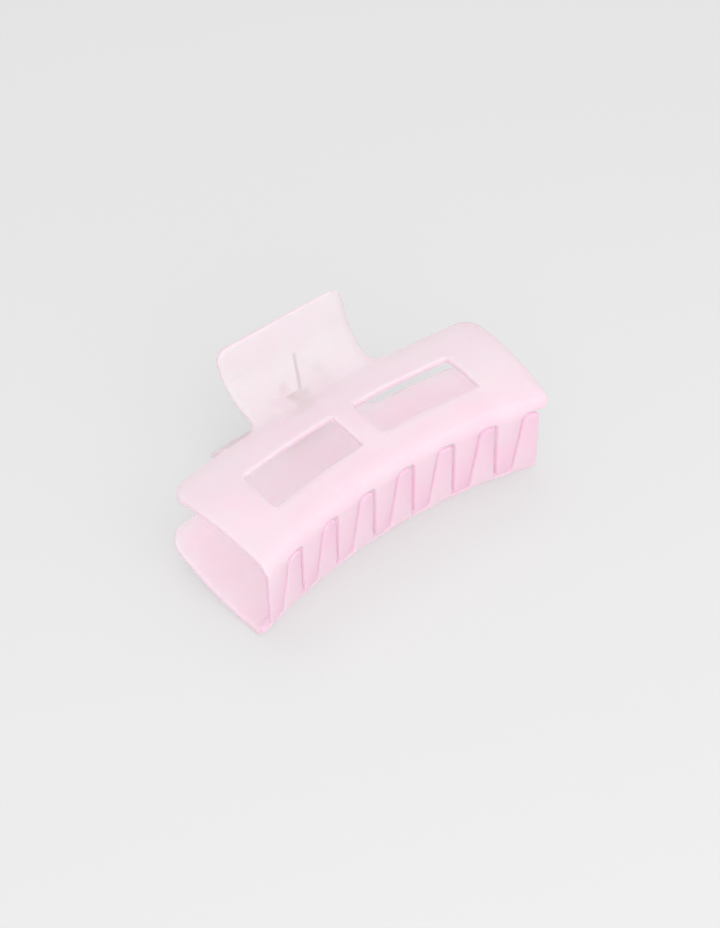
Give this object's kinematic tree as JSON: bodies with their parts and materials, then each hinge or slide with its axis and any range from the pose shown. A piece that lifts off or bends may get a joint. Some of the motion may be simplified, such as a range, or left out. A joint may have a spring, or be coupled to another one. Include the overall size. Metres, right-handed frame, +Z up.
{
  "type": "claw hair clip",
  "caption": "Rectangular claw hair clip: two identical moulded jaws with slotted plates, interlocking teeth and curled thumb tabs, joined by a steel pin and torsion spring.",
  "frame": {"origin": "centre of the bounding box in X and Y, on the plane the closed clip rests on", "axes": "+X along the clip, parallel to the hinge pin; +Y from the toothed faces back to the thumb tabs; +Z up, through the lower jaw to the upper jaw"},
  "size_m": [0.1092, 0.0692, 0.0501],
  "materials": {
    "jaw_plastic": "frosted translucent pale pink, finely matt",
    "pin_steel": "drawn steel rod, satin",
    "spring_steel": "drawn spring wire, satin, slightly warm"
  },
  "bodies": {
    "lower": {"lower_jaw": "jaw_plastic", "hinge_pin": "pin_steel", "torsion_spring": "spring_steel"},
    "upper": {"upper_jaw": "jaw_plastic"}
  },
  "joints": [
    {"name": "jaw_hinge", "type": "hinge", "parent": "lower", "child": "upper", "pos_m": [0, 0.01776, 0.02344], "axis": [-1, 0, 0], "range_deg": [0, 110], "stiffness_Nm_per_rad": 0.12, "springref_deg": -45.84, "deforming": ["torsion_spring"]}
  ]
}
